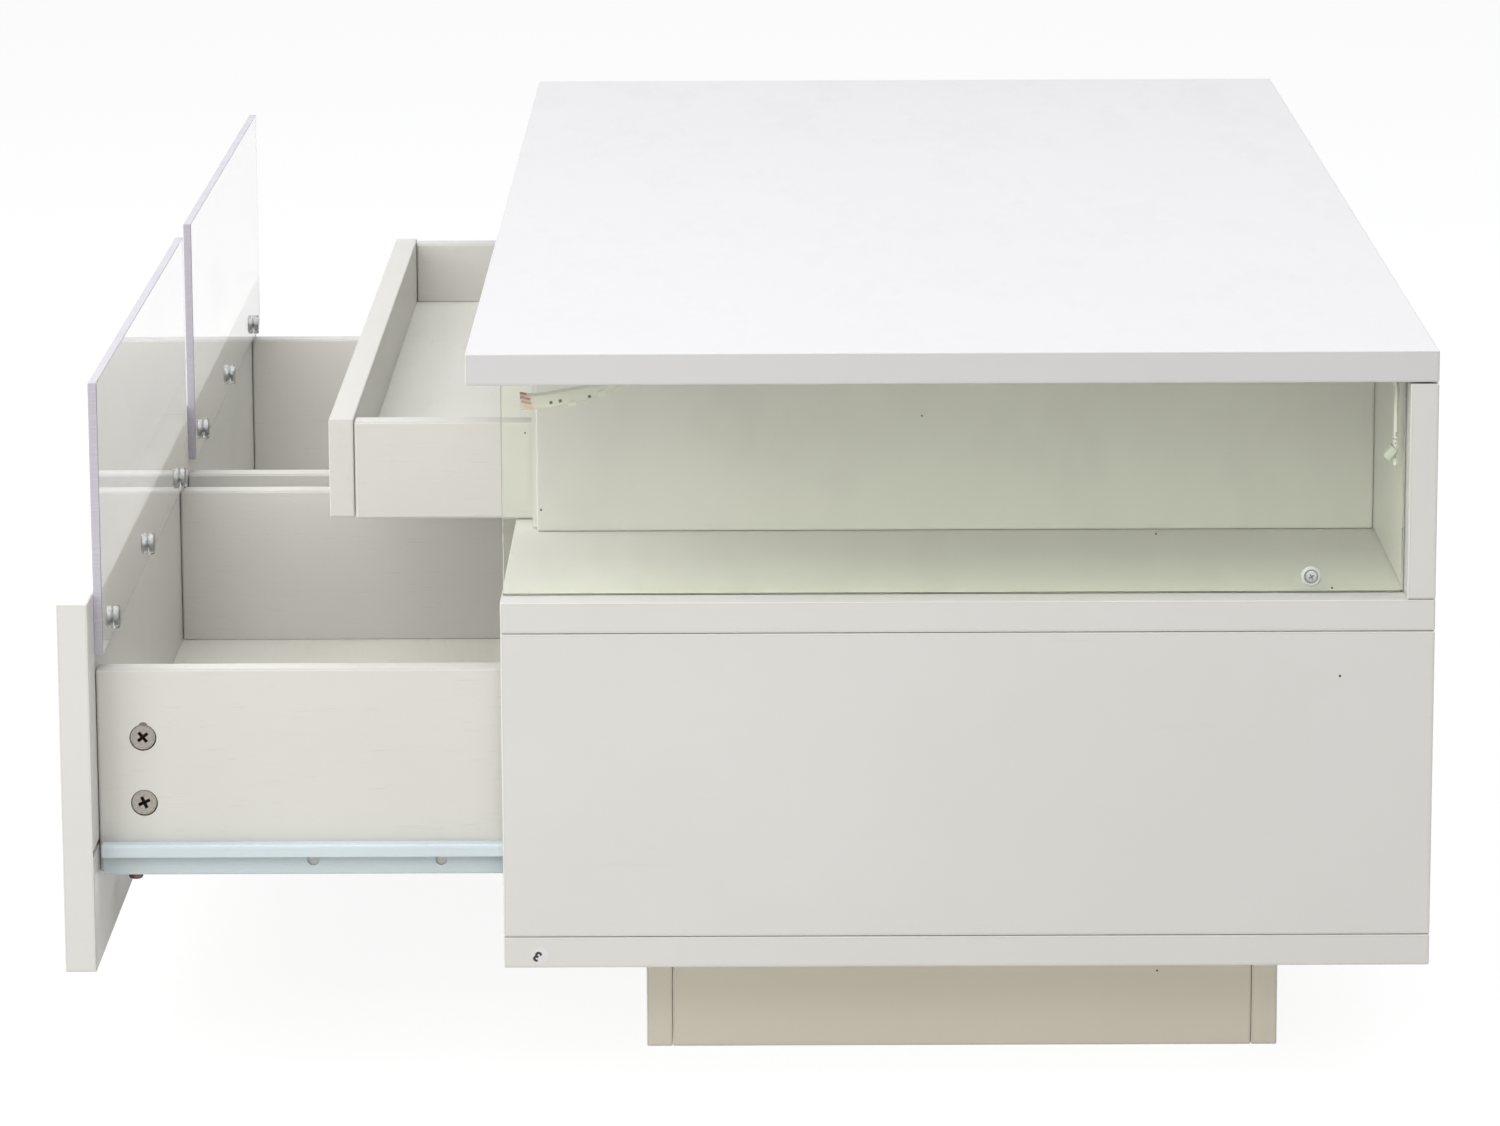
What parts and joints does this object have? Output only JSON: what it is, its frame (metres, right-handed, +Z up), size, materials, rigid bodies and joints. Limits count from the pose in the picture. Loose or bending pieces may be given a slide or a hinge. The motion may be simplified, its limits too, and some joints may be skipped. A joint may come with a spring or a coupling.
{
  "type": "coffee table",
  "caption": "White rectangular coffee table with wide roller drawers behind clear screens, a shallow tray, glazed end niches and light strips under the top.",
  "frame": {"origin": "on the floor, under the middle of the plinth", "axes": "+X along the table towards the end shown nearest in the picture, -Y the way the drawers open, +Z up"},
  "size_m": [1.2, 0.7818, 0.427],
  "materials": {
    "white_board": "white melamine-faced particle board with edge banding, semi-matt",
    "white_foil_board": "warm white foil-wrapped particle board, satin",
    "white_hardboard": "thin hardboard with a white printed face, matt",
    "clear_glass": "clear float glass with ground edges",
    "clear_acrylic": "clear cast acrylic sheet, polished",
    "clear_plastic": "clear moulded plastic button",
    "pale_epoxy": "bent sheet steel with a pale epoxy powder coat",
    "white_nylon": "white moulded nylon",
    "white_tape": "white flexible light strip in clear silicone",
    "controller_plastic": "white moulded plastic box and flat lead"
  },
  "bodies": {
    "carcass": {"top_panel": "white_board", "shelf_panel": "white_board", "bottom_panel": "white_board", "near_end_panel": "white_board", "far_end_panel": "white_board", "centre_partition": "white_board", "lower_back_panel": "white_board", "upper_back_panel": "white_board", "near_divider": "white_board", "far_divider": "white_board", "near_end_glass": "clear_glass", "far_end_glass": "clear_glass", "front_plinth_rail": "white_board", "back_plinth_rail": "white_board", "near_plinth_end": "white_board", "far_plinth_end": "white_board", "plinth_cross_rail": "white_board", "near_led_strip": "white_tape", "far_led_strip": "white_tape", "led_controller": "controller_plastic", "near_drawer_outer_channel": "pale_epoxy", "near_drawer_inner_channel": "pale_epoxy", "far_drawer_outer_channel": "pale_epoxy", "far_drawer_inner_channel": "pale_epoxy"},
    "near_drawer": {"near_drawer_front": "white_board", "near_drawer_screen": "clear_acrylic", "near_drawer_outer_side": "white_foil_board", "near_drawer_inner_side": "white_foil_board", "near_drawer_back": "white_foil_board", "near_drawer_bottom": "white_hardboard", "near_drawer_outer_track": "pale_epoxy", "near_drawer_inner_track": "pale_epoxy", "near_drawer_outer_stud": "clear_plastic", "near_drawer_middle_stud": "clear_plastic", "near_drawer_inner_stud": "clear_plastic"},
    "far_drawer": {"far_drawer_front": "white_board", "far_drawer_screen": "clear_acrylic", "far_drawer_outer_side": "white_foil_board", "far_drawer_inner_side": "white_foil_board", "far_drawer_back": "white_foil_board", "far_drawer_bottom": "white_hardboard", "far_drawer_outer_track": "pale_epoxy", "far_drawer_inner_track": "pale_epoxy", "far_drawer_outer_stud": "clear_plastic", "far_drawer_middle_stud": "clear_plastic", "far_drawer_inner_stud": "clear_plastic"},
    "tray": {"tray_front": "white_foil_board", "near_tray_side": "white_foil_board", "far_tray_side": "white_foil_board", "tray_back": "white_foil_board", "tray_bottom": "white_hardboard"},
    "near_outer_front_roller": {"near_drawer_outer_front_roller": "white_nylon"},
    "near_inner_front_roller": {"near_drawer_inner_front_roller": "white_nylon"},
    "near_outer_rear_roller": {"near_drawer_outer_rear_roller": "white_nylon"},
    "near_inner_rear_roller": {"near_drawer_inner_rear_roller": "white_nylon"},
    "far_outer_front_roller": {"far_drawer_outer_front_roller": "white_nylon"},
    "far_inner_front_roller": {"far_drawer_inner_front_roller": "white_nylon"},
    "far_outer_rear_roller": {"far_drawer_outer_rear_roller": "white_nylon"},
    "far_inner_rear_roller": {"far_drawer_inner_rear_roller": "white_nylon"}
  },
  "joints": [
    {"name": "near_drawer_slide", "type": "slide", "parent": "carcass", "child": "near_drawer", "axis": [0, -1, 0], "range_m": [-0.227, 0.093]},
    {"name": "far_drawer_slide", "type": "slide", "parent": "carcass", "child": "far_drawer", "axis": [0, -1, 0], "range_m": [-0.227, 0.093]},
    {"name": "tray_slide", "type": "slide", "parent": "carcass", "child": "tray", "axis": [0, -1, 0], "range_m": [-0.1135, 0.0465]},
    {"name": "near_outer_front_roller_turn", "type": "hinge", "parent": "carcass", "child": "near_outer_front_roller", "pos_m": [0.5748, -0.2486, 0.127], "axis": [1, 0, 0], "continuous": true},
    {"name": "near_inner_front_roller_turn", "type": "hinge", "parent": "carcass", "child": "near_inner_front_roller", "pos_m": [0.0162, -0.2486, 0.127], "axis": [1, 0, 0], "continuous": true},
    {"name": "near_outer_rear_roller_turn", "type": "hinge", "parent": "near_drawer", "child": "near_outer_rear_roller", "pos_m": [0.5747, -0.0628, 0.127], "axis": [1, 0, 0], "continuous": true},
    {"name": "near_inner_rear_roller_turn", "type": "hinge", "parent": "near_drawer", "child": "near_inner_rear_roller", "pos_m": [0.0163, -0.0628, 0.127], "axis": [1, 0, 0], "continuous": true},
    {"name": "far_outer_front_roller_turn", "type": "hinge", "parent": "carcass", "child": "far_outer_front_roller", "pos_m": [-0.5748, -0.2486, 0.127], "axis": [1, 0, 0], "continuous": true},
    {"name": "far_inner_front_roller_turn", "type": "hinge", "parent": "carcass", "child": "far_inner_front_roller", "pos_m": [-0.0162, -0.2486, 0.127], "axis": [1, 0, 0], "continuous": true},
    {"name": "far_outer_rear_roller_turn", "type": "hinge", "parent": "far_drawer", "child": "far_outer_rear_roller", "pos_m": [-0.5747, -0.0628, 0.127], "axis": [1, 0, 0], "continuous": true},
    {"name": "far_inner_rear_roller_turn", "type": "hinge", "parent": "far_drawer", "child": "far_inner_rear_roller", "pos_m": [-0.0163, -0.0628, 0.127], "axis": [1, 0, 0], "continuous": true}
  ],
  "couplings": [
    {"joint": "far_drawer_slide", "follows": "near_drawer_slide", "ratio": 1},
    {"joint": "tray_slide", "follows": "near_drawer_slide", "ratio": 0.5},
    {"joint": "near_outer_front_roller_turn", "follows": "near_drawer_slide", "rad_per_m": 105.26},
    {"joint": "near_inner_front_roller_turn", "follows": "near_drawer_slide", "rad_per_m": 105.26},
    {"joint": "near_outer_rear_roller_turn", "follows": "near_drawer_slide", "rad_per_m": 105.26},
    {"joint": "near_inner_rear_roller_turn", "follows": "near_drawer_slide", "rad_per_m": 105.26},
    {"joint": "far_outer_front_roller_turn", "follows": "near_drawer_slide", "rad_per_m": 105.26},
    {"joint": "far_inner_front_roller_turn", "follows": "near_drawer_slide", "rad_per_m": 105.26},
    {"joint": "far_outer_rear_roller_turn", "follows": "near_drawer_slide", "rad_per_m": 105.26},
    {"joint": "far_inner_rear_roller_turn", "follows": "near_drawer_slide", "rad_per_m": 105.26}
  ]
}
